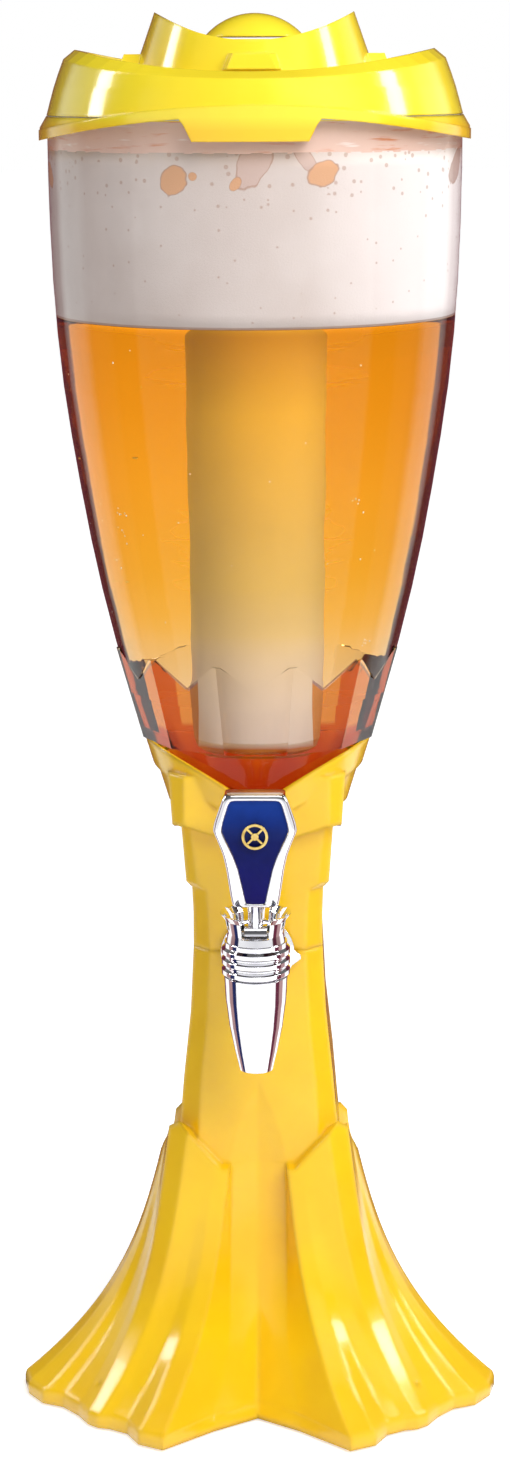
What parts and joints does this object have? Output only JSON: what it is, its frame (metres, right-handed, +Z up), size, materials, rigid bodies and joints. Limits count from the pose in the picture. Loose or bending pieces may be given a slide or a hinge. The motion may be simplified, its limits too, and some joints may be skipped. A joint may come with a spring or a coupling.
{
  "type": "beer_tower_dispenser",
  "caption": "Tabletop drink tower: clear goblet tank with ice tube on a pleated yellow stand, crowned lid and a chrome lever tap",
  "frame": {"origin": "centre of the footprint on the table", "axes": "+X to the right seen from the front, +Y to the back, +Z up; the tap points along -Y"},
  "size_m": [0.1966, 0.1903, 0.56],
  "materials": {
    "yellow_abs": "very glossy",
    "lid_yellow": "very glossy",
    "clear_cup": "clear",
    "ice_tube_plastic": "frosted",
    "tap_chrome": "mirror",
    "handle_blue": "glossy",
    "emblem_gold": "polished",
    "seal_silicone": "matt",
    "black_rubber": "matt",
    "white_plastic": "matt",
    "steel": "satin"
  },
  "bodies": {
    "stand": {"foot_shell": "yellow_abs", "stand_upper": "yellow_abs", "base_plate": "white_plastic", "base_screws": "steel", "rubber_feet": "black_rubber", "cup": "clear_cup", "neck_chamber": "white_plastic", "neck_gasket": "seal_silicone", "tap_body": "tap_chrome", "tap_bonnet": "tap_chrome", "tap_guard": "tap_chrome", "tap_flange": "tap_chrome", "outer_washer": "seal_silicone", "shank_nut": "steel", "pivot_pin": "steel"},
    "lid": {"lid_shell": "lid_yellow", "lid_gasket": "seal_silicone", "tube_seal": "seal_silicone"},
    "tube": {"ice_tube": "ice_tube_plastic"},
    "cap": {"crown_cap": "lid_yellow"},
    "handle": {"handle_frame": "tap_chrome", "handle_inlay": "handle_blue", "handle_emblem": "emblem_gold", "lever": "tap_chrome"},
    "valve": {"plunger": "white_plastic", "valve_seal": "seal_silicone"}
  },
  "joints": [
    {"name": "lid_lift", "type": "slide", "parent": "stand", "child": "lid", "axis": [0, 0, 1], "range_m": [0, 0.3]},
    {"name": "tube_lift", "type": "slide", "parent": "lid", "child": "tube", "axis": [0, 0, 1], "range_m": [0, 0.28]},
    {"name": "cap_turn", "type": "hinge", "parent": "tube", "child": "cap", "pos_m": [0, 0, 0.55], "axis": [0, 0, 1], "continuous": true},
    {"name": "handle_tilt", "type": "hinge", "parent": "stand", "child": "handle", "pos_m": [0, -0.062, 0.205], "axis": [1, 0, 0], "range_deg": [0, 22]},
    {"name": "valve_slide", "type": "slide", "parent": "stand", "child": "valve", "axis": [0, 1, 0], "range_m": [0, 0.0075]}
  ],
  "couplings": [
    {"joint": "valve_slide", "follows": "handle_tilt", "m_per_rad": 0.0172}
  ]
}
